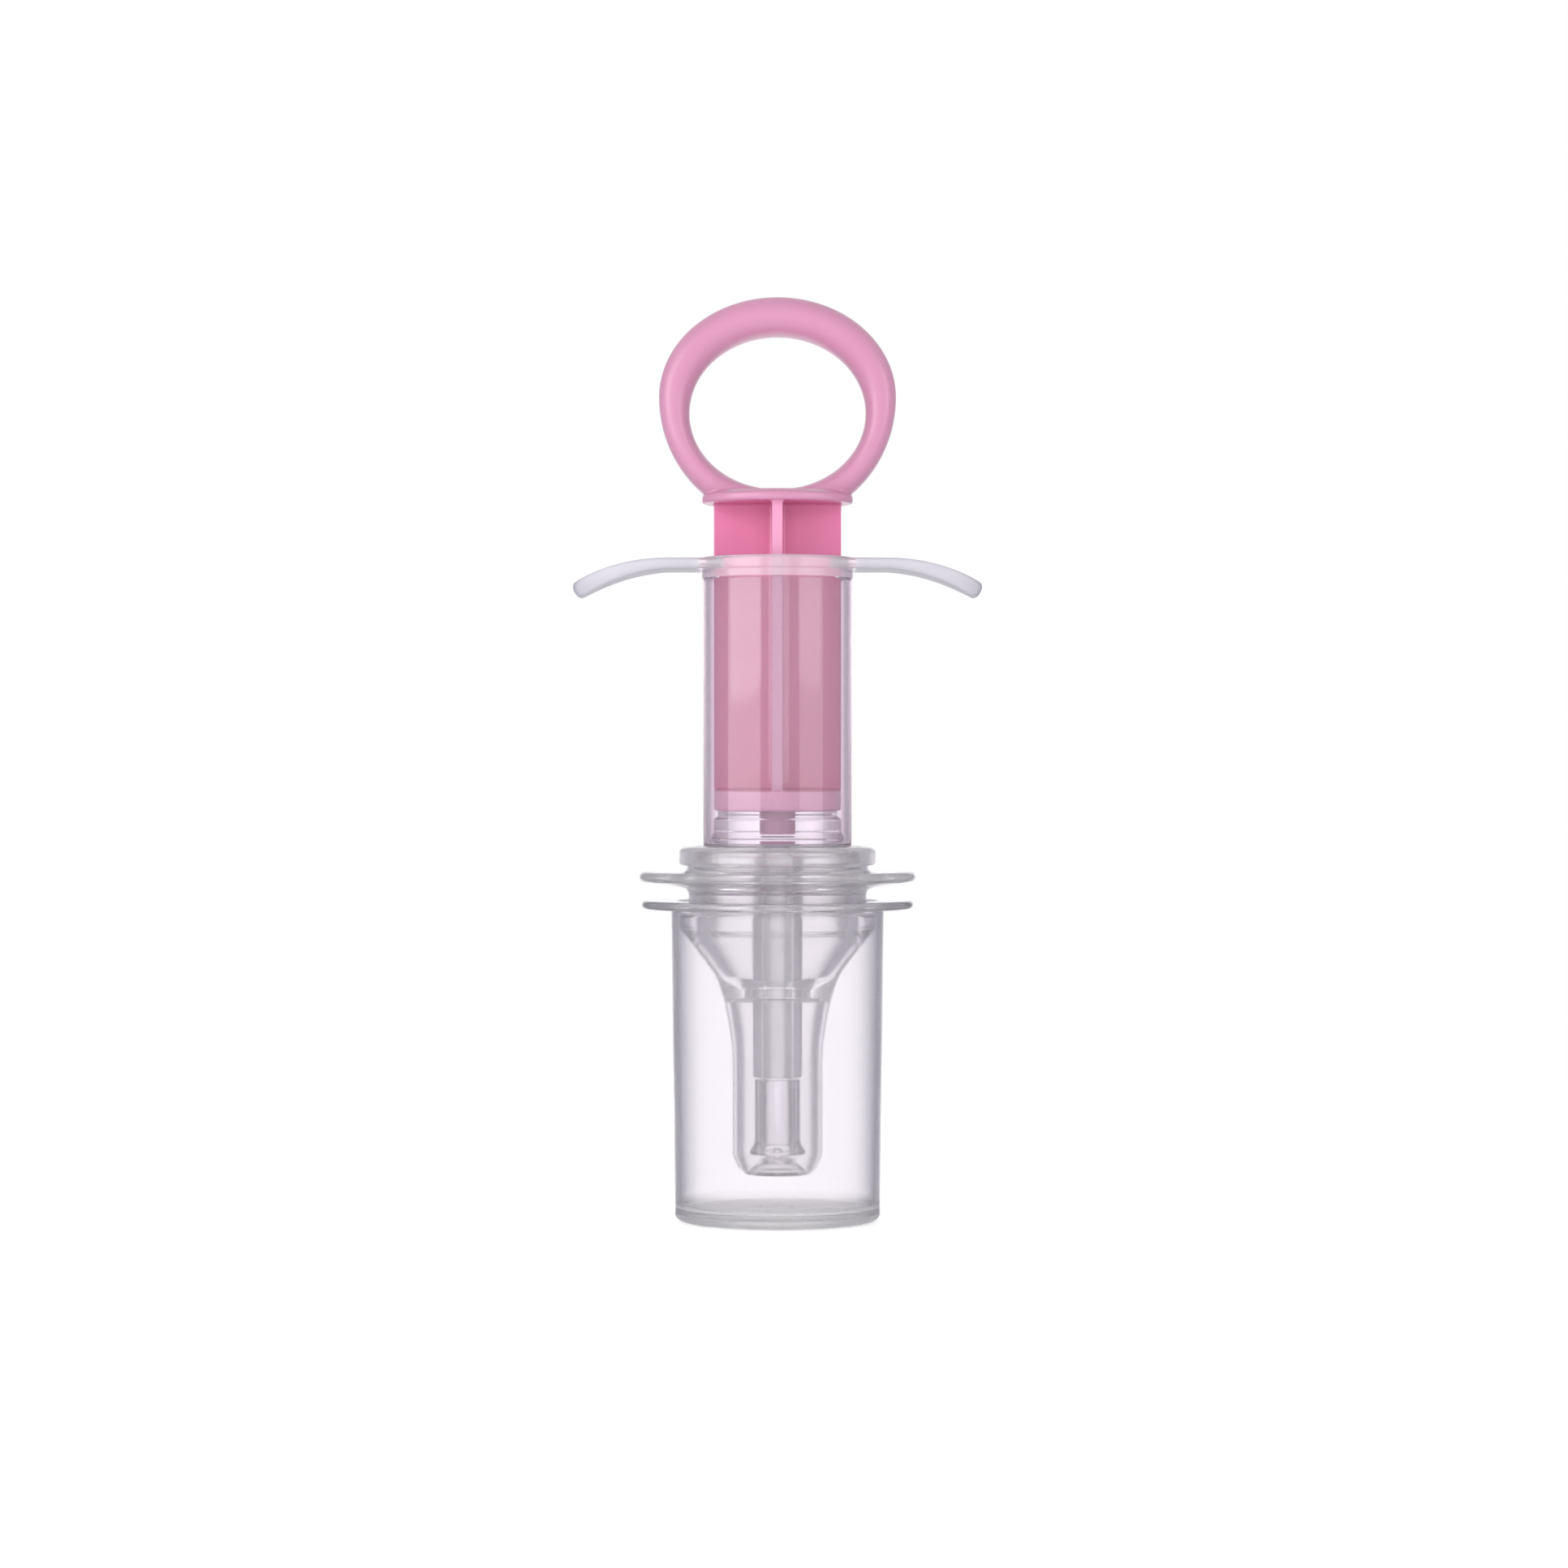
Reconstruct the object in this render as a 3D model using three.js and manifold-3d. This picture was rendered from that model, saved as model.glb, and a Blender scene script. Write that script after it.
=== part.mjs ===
// A teat-type oral medicine syringe. A ring-pull plunger with a silicone seal slides in a clear barrel
// with two finger wings. A push-on collar with a mouth guard holds the silicone teat on the barrel, and
// a feed tube carries the dose from the barrel's nozzle to the teat's tip. A clear dust cap covers the
// teat, and the syringe stands on it.
//
// Millimetres. +Z runs up the barrel's axis, z = 0 is the cap's underside, and X runs along the wings.
// Turned pieces are outlines of [radius, height] points, taken anticlockwise round the material.

import * as THREE from 'three';
import { mergeVertices } from 'three/addons/utils/BufferGeometryUtils.js';
import Module from 'manifold-3d';

const SIDES = 40; // facets round every turned piece, so that coaxial facets line up
const GAP = 0.3; // clearance between neighbouring pieces
const WELD = 1e-4; // vertices closer than this are one vertex

// Dust cap
const CAP_HEIGHT = 49.2;
const CAP_BASE_R = 15.8;
const CAP_TOP_R = 16.4;
const CAP_WALL = 1.0;
const CAP_FLOOR = 2.0;
const CAP_CORNER_R = 1.6;
const CAP_RIM_R = 20.9;
const CAP_RIM_THICK = 1.3;
const CAP_GATE_R = 2.8;
const CAP_GATE_RISE = 0.4;
const CAP_MOUTH_CHAMFER = 0.3;
const CAP_INSIDE_CHAMFER = 1.0;

// Barrel
const BORE_R = 10.45;
const BARREL_R = 11.45;
const CHAMBER_FLOOR_Z = 57.6;
const FLOOR_THICK = 1.4;
const MOUTH_Z = 101.9;
const RIM_R = 11.7;
const RIM_HEIGHT = 3.3;
const SKIRT_R = 12.6;
const SKIRT_WALL = 1.4;
const SKIRT_BOTTOM_Z = 52.5;
const NOZZLE_R = 3.9;
const NOZZLE_BORE_R = 1.6;
const NOZZLE_TIP_Z = 22.0;

// Finger wings, moulded on the barrel's rim
const WING_SPAN = 63.0;
const WING_DEPTH = 15.0;
const WING_TOP_Z = 101.6;
const WING_THICK = 1.6;
const WING_TIP_THICK = 2.6;
const WING_FLAT_X = 17.0; // beyond this the wings curve down
const WING_BEND_R = 30.0;

// Collar with the mouth guard
const COLLAR_BORE_R = SKIRT_R + GAP;
const COLLAR_TOP_Z = 57.5;
const COLLAR_NECK_R = 13.75;
const COLLAR_BOTTOM_Z = 47.5;
const SHELF_R = 12.2;
const SHELF_TOP_Z = 50.3;
const BEAD_R = 15.15;
const BEAD_ROUND = 1.45;
const WAIST_R = 14.0;
const WAIST_Z = 54.2;
const GUARD_R = 21.25;
const GUARD_TIP_Z = 52.9;
const GUARD_THICK = 1.5;
const GUARD_ROOT_R = 14.95;
const GUARD_ROOT_Z = 52.3;
const GUARD_ROOT_THICK = 2.0;

// Teat
const TEAT_TIP_R = 6.9;
const TEAT_TIP_Z = 7.1;
const TEAT_TIP_ROUND = 2.0;
const TEAT_OUTLET_R = 0.6;
const TEAT_DIMPLE_Z = 9.4; // the tip is drawn in round its outlet
const TEAT_DIMPLE = [
  [2.0, 8.9],
  [3.9, 7.3],
];
const TEAT_TIP_WALL = 0.9;
const TEAT_INSIDE_TIP = [
  [5.6, 10.0],
  [5.0, 8.5],
  [4.1, 8.5],
  [2.2, 9.8],
];
const TEAT_FLARE = [
  [6.9, 25.0],
  [7.2, 29.6],
  [8.2, 33.8],
  [9.1, 36.4],
  [10.5, 39.1],
];
const TEAT_INSIDE_FLARE = [
  [6.7, 34.6],
  [5.9, 29.6],
  [5.6, 25.0],
];
const TEAT_WEB_TOP_Z = 36.0;
const TEAT_WEB_BOTTOM_Z = 34.6;
const TEAT_SHOULDER_R = 15.0;
const TEAT_SHOULDER_Z = 44.9;
const TEAT_THROAT_R = 10.6;
const TEAT_FUNNEL = [
  [10.6, 44.6],
  [7.2, 38.4],
];

// Feed tube
const TUBE_R = 3.45;
const TUBE_BORE_R = 2.2;
const TUBE_BOTTOM_Z = 10.2;
const TUBE_FOOT_R = 4.25;
const TUBE_FOOT_HEIGHT = 1.3;
const TUBE_FOOT_EDGE = 0.45;

// Plunger
const ROD_R = 9.8;
const RIB_THICK = 1.6;
const THUMB_DISC_R = 11.6;
const THUMB_DISC_Z = 110.6;
const THUMB_DISC_THICK = 1.4;
const THUMB_DISC_CHAMFER = 0.3;
const THUMB_DISC_BEVEL = 1.0;
const BASE_DISC_Z = 62.8;
const BASE_DISC_THICK = 3.2;
const STUD_R = 2.15;
const STUD_BOTTOM_Z = 58.8;

// Ring handle: the outside is two half ellipses of one width, the opening is one ellipse
const RING_HALF_WIDTH = 18.25;
const RING_CENTRE_Z = 126.6;
const RING_RISE = 15.4;
const RING_DROP = 19.1;
const RING_DEPTH = 8.6;
const RING_ROUND = 2.2; // how far the rounding reaches in from the ring's front and back
const RING_ROUND_IN = 1.5; // how far the rounding cuts into the ring's band
const OPENING_HALF_WIDTH = 13.55;
const OPENING_HALF_HEIGHT = 11.75;
const OPENING_CENTRE_Z = 124.15;
const RING_STEPS = 56;

// Seal on the plunger's end
const SEAL_LIP_R = 10.2;
const SEAL_LIP_HEIGHT = 0.5;
const SEAL_BODY_R = 9.85;
const SEAL_BODY_TOP_Z = 61.3;
const SEAL_SHOULDER_R = 9.2;
const SEAL_SHOULDER_Z = 61.9;

const PINK = { color: 0xe795bb, roughness: 0.32, metalness: 0 };
const CLEAR = { color: 0xe6e4ec, roughness: 0.08, metalness: 0, transparent: true, opacity: 0.35 };
const SILICONE = { color: 0xe4e0ea, roughness: 0.25, metalness: 0, transparent: true, opacity: 0.45 };

const wasm = await Module();
wasm.setup();

// Points on an arc round [r, z], with its angles in degrees from the +r direction.
function arc(r, z, radius, from, to, steps) {
  const points = [];
  for (let i = 0; i <= steps; i += 1) {
    const angle = THREE.MathUtils.degToRad(from + ((to - from) * i) / steps);
    points.push([r + radius * Math.cos(angle), z + radius * Math.sin(angle)]);
  }
  return points;
}

// A solid of revolution. An outline that starts off the axis is closed on itself.
function turned(outline) {
  const points = outline.map(([r, z]) => new THREE.Vector2(r, z));
  if (outline[0][0] > 0) {
    points.push(points[0].clone());
  }
  const geometry = new THREE.LatheGeometry(points, SIDES);
  geometry.rotateX(Math.PI / 2);
  return geometry;
}

// A cylinder on the axis between two heights.
function disc(radius, bottom, top) {
  return turned([
    [0, bottom],
    [radius, bottom],
    [radius, top],
    [0, top],
  ]);
}

// A closed surface as a solid that can be joined and cut.
function solidOf(geometry) {
  const bare = new THREE.BufferGeometry();
  bare.setAttribute('position', geometry.getAttribute('position'));
  bare.setIndex(geometry.getIndex());
  const merged = mergeVertices(bare, WELD);
  const corners = merged.getIndex().array;
  const faces = [];
  for (let i = 0; i < corners.length; i += 3) {
    const [a, b, c] = [corners[i], corners[i + 1], corners[i + 2]];
    if (a !== b && b !== c && c !== a) {
      faces.push(a, b, c);
    }
  }
  const vertProperties = new Float32Array(merged.getAttribute('position').array);
  const triVerts = new Uint32Array(faces);
  return new wasm.Manifold(new wasm.Mesh({ numProp: 3, vertProperties, triVerts }));
}

function geometryOf(solid) {
  const mesh = solid.getMesh();
  const geometry = new THREE.BufferGeometry();
  geometry.setAttribute('position', new THREE.BufferAttribute(mesh.vertProperties, 3));
  geometry.setIndex(new THREE.BufferAttribute(mesh.triVerts, 1));
  return geometry;
}

function named(name, geometry, look) {
  const mesh = new THREE.Mesh(geometry, new THREE.MeshStandardMaterial(look));
  mesh.name = name;
  return mesh;
}

// The ring's outside: an egg of two half ellipses.
function ringOutline() {
  const points = [];
  for (let i = 0; i < RING_STEPS; i += 1) {
    const angle = (2 * Math.PI * i) / RING_STEPS;
    const height = angle < Math.PI ? RING_RISE : RING_DROP;
    const x = RING_HALF_WIDTH * Math.cos(angle);
    points.push(new THREE.Vector2(x, RING_CENTRE_Z + height * Math.sin(angle)));
  }
  return points;
}

function ringOpening() {
  const points = [];
  for (let i = 0; i < RING_STEPS; i += 1) {
    const angle = (2 * Math.PI * i) / RING_STEPS;
    const x = OPENING_HALF_WIDTH * Math.cos(angle);
    points.push(new THREE.Vector2(x, OPENING_CENTRE_Z + OPENING_HALF_HEIGHT * Math.sin(angle)));
  }
  return points;
}

// The egg with its opening, rounded front and back, and cut off inside the thumb disc.
function ringHandle() {
  const shape = new THREE.Shape(ringOutline());
  shape.holes.push(new THREE.Path(ringOpening()));
  const flat = RING_DEPTH - 2 * RING_ROUND;
  const geometry = new THREE.ExtrudeGeometry(shape, {
    depth: flat,
    bevelSegments: 3,
    bevelThickness: RING_ROUND,
    bevelSize: RING_ROUND_IN,
    bevelOffset: -RING_ROUND_IN,
  });
  geometry.translate(0, 0, -flat / 2);
  geometry.rotateX(Math.PI / 2);
  const above = disc(2 * RING_HALF_WIDTH, THUMB_DISC_Z + THUMB_DISC_THICK / 2, 2 * RING_CENTRE_Z);
  return solidOf(geometry).intersect(solidOf(above));
}

// The disc under the ring, that the thumb presses on.
function thumbDisc() {
  const top = THUMB_DISC_Z + THUMB_DISC_THICK;
  return turned([
    [0, THUMB_DISC_Z],
    [THUMB_DISC_R - THUMB_DISC_CHAMFER, THUMB_DISC_Z],
    [THUMB_DISC_R, THUMB_DISC_Z + THUMB_DISC_CHAMFER],
    [THUMB_DISC_R - THUMB_DISC_BEVEL, top],
    [0, top],
  ]);
}

// The rod's four ribs are two crossed plates.
function rib(turn) {
  const bottom = BASE_DISC_Z + BASE_DISC_THICK / 2;
  const top = THUMB_DISC_Z + THUMB_DISC_THICK / 2;
  const geometry = new THREE.BoxGeometry(2 * ROD_R, RIB_THICK, top - bottom);
  geometry.translate(0, 0, (top + bottom) / 2);
  geometry.rotateZ(turn);
  return geometry;
}

function plunger() {
  const solid = ringHandle()
    .add(solidOf(thumbDisc()))
    .add(solidOf(rib(0)))
    .add(solidOf(rib(Math.PI / 2)))
    .add(solidOf(disc(ROD_R, BASE_DISC_Z, BASE_DISC_Z + BASE_DISC_THICK)))
    .add(solidOf(disc(STUD_R, STUD_BOTTOM_Z, BASE_DISC_Z + BASE_DISC_THICK / 2)));
  return named('plunger', geometryOf(solid), PINK);
}

// A soft plug with a wiping lip, open at the top for the plunger's stud.
function pistonSeal() {
  const bottom = CHAMBER_FLOOR_Z + GAP;
  const top = BASE_DISC_Z - GAP;
  const socketR = STUD_R + GAP;
  const socketZ = STUD_BOTTOM_Z - GAP;
  const outline = [
    [0, bottom],
    [SEAL_BODY_R, bottom],
    [SEAL_LIP_R, bottom + SEAL_LIP_HEIGHT],
    [SEAL_LIP_R, bottom + 2 * SEAL_LIP_HEIGHT],
    [SEAL_BODY_R, bottom + 3 * SEAL_LIP_HEIGHT],
    [SEAL_BODY_R, SEAL_BODY_TOP_Z],
    [SEAL_SHOULDER_R, SEAL_SHOULDER_Z],
    [SEAL_SHOULDER_R, top],
    [socketR, top],
    [socketR, socketZ],
    [0, socketZ],
  ];
  return named('piston_seal', turned(outline), SILICONE);
}

// The wing plate seen from the front: flat over the barrel, then bent down along an arc on each side
// and thickening to its tips.
function wingSection() {
  const bend = Math.asin((WING_SPAN / 2 - WING_FLAT_X) / WING_BEND_R);
  const steps = 8;
  const upper = [];
  const lower = [];
  for (let i = 0; i <= steps; i += 1) {
    const angle = (bend * i) / steps;
    const thick = WING_THICK + ((WING_TIP_THICK - WING_THICK) * i) / steps;
    const x = WING_FLAT_X + WING_BEND_R * Math.sin(angle);
    const z = WING_TOP_Z - WING_BEND_R * (1 - Math.cos(angle));
    upper.push([x, z]);
    lower.push([x - thick * Math.sin(angle), z - thick * Math.cos(angle)]);
  }
  const right = [...lower, ...upper.reverse()];
  const left = right.map(([x, z]) => [-x, z]).reverse();
  return new THREE.Shape([...right, ...left].map(([x, z]) => new THREE.Vector2(x, z)));
}

// The wing plate seen from above: a long oval with blunt ends.
function wingPlan() {
  const bluntness = 0.75;
  const steps = 40;
  const points = [];
  for (let i = 0; i < steps; i += 1) {
    const angle = (2 * Math.PI * i) / steps;
    const along = Math.sign(Math.cos(angle)) * Math.abs(Math.cos(angle)) ** bluntness;
    const across = Math.sign(Math.sin(angle)) * Math.abs(Math.sin(angle)) ** bluntness;
    points.push(new THREE.Vector2((along * WING_SPAN) / 2, (across * WING_DEPTH) / 2));
  }
  return new THREE.Shape(points);
}

function fingerWings() {
  const plate = new THREE.ExtrudeGeometry(wingSection(), { depth: 2 * WING_DEPTH, bevelEnabled: false });
  plate.translate(0, 0, -WING_DEPTH);
  plate.rotateX(Math.PI / 2);
  const plan = new THREE.ExtrudeGeometry(wingPlan(), { depth: MOUTH_Z, bevelEnabled: false });
  plan.translate(0, 0, 2 * GAP);
  const hole = disc((BORE_R + RIM_R) / 2, 0, 2 * MOUTH_Z);
  return solidOf(plate).intersect(solidOf(plan)).subtract(solidOf(hole));
}

// The chamber, its floor, the skirt that the collar pushes onto, and the long nozzle.
function barrelTube() {
  const chamfer = 0.35;
  const floorUnder = CHAMBER_FLOOR_Z - FLOOR_THICK;
  const rimBottom = MOUTH_Z - RIM_HEIGHT;
  return turned([
    [NOZZLE_BORE_R, NOZZLE_TIP_Z],
    [NOZZLE_R - chamfer, NOZZLE_TIP_Z],
    [NOZZLE_R, NOZZLE_TIP_Z + chamfer],
    [NOZZLE_R, floorUnder],
    [SKIRT_R - SKIRT_WALL, floorUnder],
    [SKIRT_R - SKIRT_WALL, SKIRT_BOTTOM_Z],
    [SKIRT_R, SKIRT_BOTTOM_Z],
    [SKIRT_R, CHAMBER_FLOOR_Z - chamfer],
    [BARREL_R, CHAMBER_FLOOR_Z + chamfer],
    [BARREL_R, rimBottom],
    [RIM_R, rimBottom + chamfer],
    [RIM_R, MOUTH_Z - chamfer],
    [RIM_R - chamfer, MOUTH_Z],
    [BORE_R + chamfer, MOUTH_Z],
    [BORE_R, MOUTH_Z - chamfer],
    [BORE_R, CHAMBER_FLOOR_Z],
    [NOZZLE_BORE_R, CHAMBER_FLOOR_Z],
  ]);
}

function barrel() {
  const solid = solidOf(barrelTube()).add(fingerWings());
  return named('barrel', geometryOf(solid), CLEAR);
}

// The neck with its shelf under the teat's flange, the guard disc, and the bead round the skirt.
function teatCollar() {
  const tipRound = GUARD_THICK / 2;
  const beadR = BEAD_R - BEAD_ROUND;
  const beadZ = COLLAR_TOP_Z - BEAD_ROUND;
  const outline = [
    [SHELF_R, COLLAR_BOTTOM_Z],
    [COLLAR_NECK_R, COLLAR_BOTTOM_Z],
    [COLLAR_NECK_R, GUARD_ROOT_Z - GUARD_ROOT_THICK],
    [GUARD_ROOT_R, GUARD_ROOT_Z - GUARD_ROOT_THICK / 2],
    ...arc(GUARD_R - tipRound, GUARD_TIP_Z, tipRound, -90, 90, 6),
    [GUARD_ROOT_R, GUARD_ROOT_Z + GUARD_ROOT_THICK / 2],
    [WAIST_R, WAIST_Z],
    ...arc(beadR, beadZ, BEAD_ROUND, -60, 90, 7),
    [COLLAR_BORE_R, COLLAR_TOP_Z],
    [COLLAR_BORE_R, SHELF_TOP_Z],
    [SHELF_R, SHELF_TOP_Z],
  ];
  return named('teat_collar', turned(outline), CLEAR);
}

// Outside from the dimpled tip up the teat to its shoulder, the groove round the collar's shelf and
// the flange above it, then back down the funnel inside, through the web that grips the nozzle.
function teat() {
  const grooveR = SHELF_R - GAP;
  const flangeR = COLLAR_BORE_R - GAP;
  const flangeBottom = SHELF_TOP_Z + GAP;
  const flangeTop = SKIRT_BOTTOM_Z - GAP;
  const webHoleR = NOZZLE_R + GAP;
  const outline = [
    [TEAT_OUTLET_R, TEAT_DIMPLE_Z],
    ...TEAT_DIMPLE,
    ...arc(TEAT_TIP_R - TEAT_TIP_ROUND, TEAT_TIP_Z + TEAT_TIP_ROUND, TEAT_TIP_ROUND, -90, 0, 4),
    ...TEAT_FLARE,
    [TEAT_SHOULDER_R, TEAT_SHOULDER_Z],
    [TEAT_SHOULDER_R, COLLAR_BOTTOM_Z - GAP],
    [grooveR, COLLAR_BOTTOM_Z - GAP],
    [grooveR, flangeBottom],
    [flangeR, flangeBottom],
    [flangeR, flangeTop],
    [TEAT_THROAT_R, flangeTop],
    ...TEAT_FUNNEL,
    [webHoleR, TEAT_WEB_TOP_Z],
    [webHoleR, TEAT_WEB_BOTTOM_Z],
    ...TEAT_INSIDE_FLARE,
    ...TEAT_INSIDE_TIP,
    [TEAT_OUTLET_R, TEAT_DIMPLE_Z + TEAT_TIP_WALL],
  ];
  return named('teat', turned(outline), SILICONE);
}

// From the nozzle's end to the inside of the teat's tip, on a flared foot.
function feedTube() {
  const top = NOZZLE_TIP_Z - GAP;
  const outline = [
    [TUBE_BORE_R, TUBE_BOTTOM_Z],
    [TUBE_FOOT_R, TUBE_BOTTOM_Z],
    [TUBE_FOOT_R, TUBE_BOTTOM_Z + TUBE_FOOT_EDGE],
    [TUBE_R, TUBE_BOTTOM_Z + TUBE_FOOT_HEIGHT],
    [TUBE_R, top],
    [TUBE_BORE_R, top],
  ];
  return named('feed_tube', turned(outline), SILICONE);
}

// A tapered cup with a rim flange, a rounded foot and a small moulding gate inside.
function dustCap() {
  const rimBottom = CAP_HEIGHT - CAP_RIM_THICK;
  const round = CAP_RIM_THICK / 2;
  const innerBaseR = CAP_BASE_R - CAP_WALL;
  const innerTopR = CAP_TOP_R - CAP_WALL;
  const outline = [
    [0, 0],
    ...arc(CAP_BASE_R - CAP_CORNER_R, CAP_CORNER_R, CAP_CORNER_R, -90, 0, 4),
    [CAP_TOP_R, rimBottom],
    ...arc(CAP_RIM_R - round, rimBottom + round, round, -90, 90, 4),
    [innerTopR + CAP_MOUTH_CHAMFER, CAP_HEIGHT],
    [innerTopR, CAP_HEIGHT - CAP_MOUTH_CHAMFER],
    [innerBaseR, CAP_FLOOR + CAP_INSIDE_CHAMFER],
    [innerBaseR - CAP_INSIDE_CHAMFER, CAP_FLOOR],
    [CAP_GATE_R, CAP_FLOOR],
    [CAP_GATE_R - CAP_GATE_RISE, CAP_FLOOR + CAP_GATE_RISE],
    [0, CAP_FLOOR + CAP_GATE_RISE],
  ];
  return named('dust_cap', turned(outline), CLEAR);
}

const syringe = new THREE.Group();
syringe.add(plunger(), pistonSeal(), barrel(), teatCollar(), teat(), feedTube(), dustCap());

export default syringe;
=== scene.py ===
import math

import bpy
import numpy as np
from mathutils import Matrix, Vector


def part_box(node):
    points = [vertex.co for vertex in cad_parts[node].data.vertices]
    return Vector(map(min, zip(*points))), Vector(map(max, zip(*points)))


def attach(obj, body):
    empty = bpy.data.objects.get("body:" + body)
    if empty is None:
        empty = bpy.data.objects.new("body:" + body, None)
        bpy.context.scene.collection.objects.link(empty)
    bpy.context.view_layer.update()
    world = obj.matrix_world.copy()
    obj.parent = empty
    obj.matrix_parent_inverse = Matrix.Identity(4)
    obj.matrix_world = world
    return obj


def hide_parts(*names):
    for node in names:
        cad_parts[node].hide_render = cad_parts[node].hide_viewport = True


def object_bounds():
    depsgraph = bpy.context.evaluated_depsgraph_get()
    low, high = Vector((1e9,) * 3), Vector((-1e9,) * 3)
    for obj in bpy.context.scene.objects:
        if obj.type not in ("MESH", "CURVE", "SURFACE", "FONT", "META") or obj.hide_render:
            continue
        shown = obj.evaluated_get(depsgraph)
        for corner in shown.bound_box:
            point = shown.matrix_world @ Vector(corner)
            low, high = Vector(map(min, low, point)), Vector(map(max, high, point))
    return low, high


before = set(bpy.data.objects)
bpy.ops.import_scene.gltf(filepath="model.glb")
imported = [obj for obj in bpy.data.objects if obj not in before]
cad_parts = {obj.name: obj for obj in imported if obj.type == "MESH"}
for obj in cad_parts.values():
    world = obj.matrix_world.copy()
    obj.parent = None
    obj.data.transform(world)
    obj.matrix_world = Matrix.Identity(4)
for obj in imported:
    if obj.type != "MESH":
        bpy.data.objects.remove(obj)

# An oral medicine syringe with a teat: clear mouldings and silicone round a pink ring-pull plunger.
# Blender works in metres. Outlines of turned pieces are lists of (radius, height, rounding) in
# millimetres, taken anticlockwise round the material, with z = 0 at the dust cap's underside.

MM = 0.001
CAD_LOW, CAD_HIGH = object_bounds()
SEGMENTS = 160  # steps round a turned piece
ARC_STEP = math.radians(10)  # the finest turn in a rounded corner
CENTRE_LINE = 1e-6  # an outline's point nearer the axis than this is a pole
STRAIGHT = 1e-3  # a corner that turns less than this, in radians, isn't rounded
STUD = 2.15  # radius of the stud that the seal is pushed onto
BASE_DISC_Z = 62.8  # underside of the plunger's base disc
PLASTIC_BEND = 1.49  # refractive index


# ---------------------------------------------------------------- sizes, from the frame


def span(node):
    """A CAD node's lowest and highest corners in millimetres."""
    low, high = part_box(node)
    return Vector(low) / MM, Vector(high) / MM


CAP_LOW, CAP_HIGH = span("dust_cap")
BARREL_LOW, BARREL_HIGH = span("barrel")
COLLAR_LOW, COLLAR_HIGH = span("teat_collar")
TEAT_LOW, TEAT_HIGH = span("teat")
TUBE_LOW, TUBE_HIGH = span("feed_tube")
SEAL_LOW, SEAL_HIGH = span("piston_seal")
PLUNGER_LOW, PLUNGER_HIGH = span("plunger")


# ---------------------------------------------------------------- mesh building


def rounded(corners, closed):
    """An outline's points and outward normals, with every corner turned into an arc.

    A corner is (radius, height, rounding). An open outline starts and ends on the axis, and those
    two corners stay as they are.
    """
    longest = 0.47  # the most of a side that one corner's arc may use
    points, normals = [], []
    last = len(corners) - 1
    for i, (radius, height, size) in enumerate(corners):
        here = np.array((radius, height), float)
        before = np.array(corners[i - 1][:2], float)
        after = np.array(corners[(i + 1) % len(corners)][:2], float)
        if not closed and i in (0, last):
            along = after - here if i == 0 else here - before
            along /= np.linalg.norm(along)
            points.append(here)
            normals.append(np.array((along[1], -along[0])))
            continue
        back, on = before - here, after - here
        back_length, on_length = np.linalg.norm(back), np.linalg.norm(on)
        back /= back_length
        on /= on_length
        half = math.acos(np.clip(back @ on, -1, 1)) / 2
        if math.pi / 2 - half < STRAIGHT:
            points.append(here)
            normals.append(np.array((on[1], -on[0])))
            continue
        reach = min(size / math.tan(half), longest * back_length, longest * on_length)
        bend = reach * math.tan(half)
        centre = here + (back + on) / np.linalg.norm(back + on) * bend / math.sin(half)
        start = here + back * reach - centre
        side = 1 if on[0] * back[1] - on[1] * back[0] > 0 else -1
        turn = math.pi - 2 * half
        steps = max(2, math.ceil(turn / ARC_STEP))
        for k in range(steps + 1):
            angle = side * turn * k / steps
            c, s = math.cos(angle), math.sin(angle)
            arm = np.array((c * start[0] - s * start[1], s * start[0] + c * start[1]))
            points.append(centre + arm)
            normals.append(side * arm / bend)
    return np.array(points), np.array(normals)


def new_piece(name, points, faces, normals=None):
    """A smooth-shaded mesh object from points in millimetres."""
    mesh = bpy.data.meshes.new(name)
    mesh.from_pydata((points * MM).tolist(), [], faces)
    mesh.update()
    mesh.shade_smooth()
    if normals is not None:
        mesh.normals_split_custom_set_from_vertices(normals.tolist())
    piece = bpy.data.objects.new(name, mesh)
    bpy.context.scene.collection.objects.link(piece)
    return piece


def skin(rows, loop):
    """Faces over rows of points that each close round. Rows of one point are poles."""
    starts = np.cumsum([0] + [len(row) for row in rows])
    faces = []
    pairs = [(i, i + 1) for i in range(len(rows) - 1)]
    if loop:
        pairs.append((len(rows) - 1, 0))
    for low, high in pairs:
        count = max(len(rows[low]), len(rows[high]))
        for k in range(count):
            k_next = (k + 1) % count
            a, b = starts[low] + k, starts[low] + k_next
            c, d = starts[high] + k_next, starts[high] + k
            if len(rows[low]) == 1:
                faces.append((int(starts[low]), int(c), int(d)))
            elif len(rows[high]) == 1:
                faces.append((int(a), int(b), int(starts[high])))
            else:
                faces.append((int(a), int(b), int(c), int(d)))
    return faces


def turned(name, corners):
    """A solid of revolution from an outline, with exact normals."""
    closed = corners[0][0] > 0
    outline, slopes = rounded(corners, closed)
    angles = np.arange(SEGMENTS) * 2 * math.pi / SEGMENTS
    ring = np.stack([np.cos(angles), np.sin(angles)], 1)
    rows, row_normals = [], []
    for (radius, height), (out, up) in zip(outline, slopes):
        if radius < CENTRE_LINE:
            rows.append(np.array([[0, 0, height]]))
            row_normals.append(np.array([[0, 0, math.copysign(1, up)]]))
            continue
        rows.append(np.column_stack([ring * radius, np.full(SEGMENTS, height)]))
        row_normals.append(np.column_stack([ring * out, np.full(SEGMENTS, up)]))
    return new_piece(name, np.concatenate(rows), skin(rows, closed), np.concatenate(row_normals))


# ---------------------------------------------------------------- materials


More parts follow.
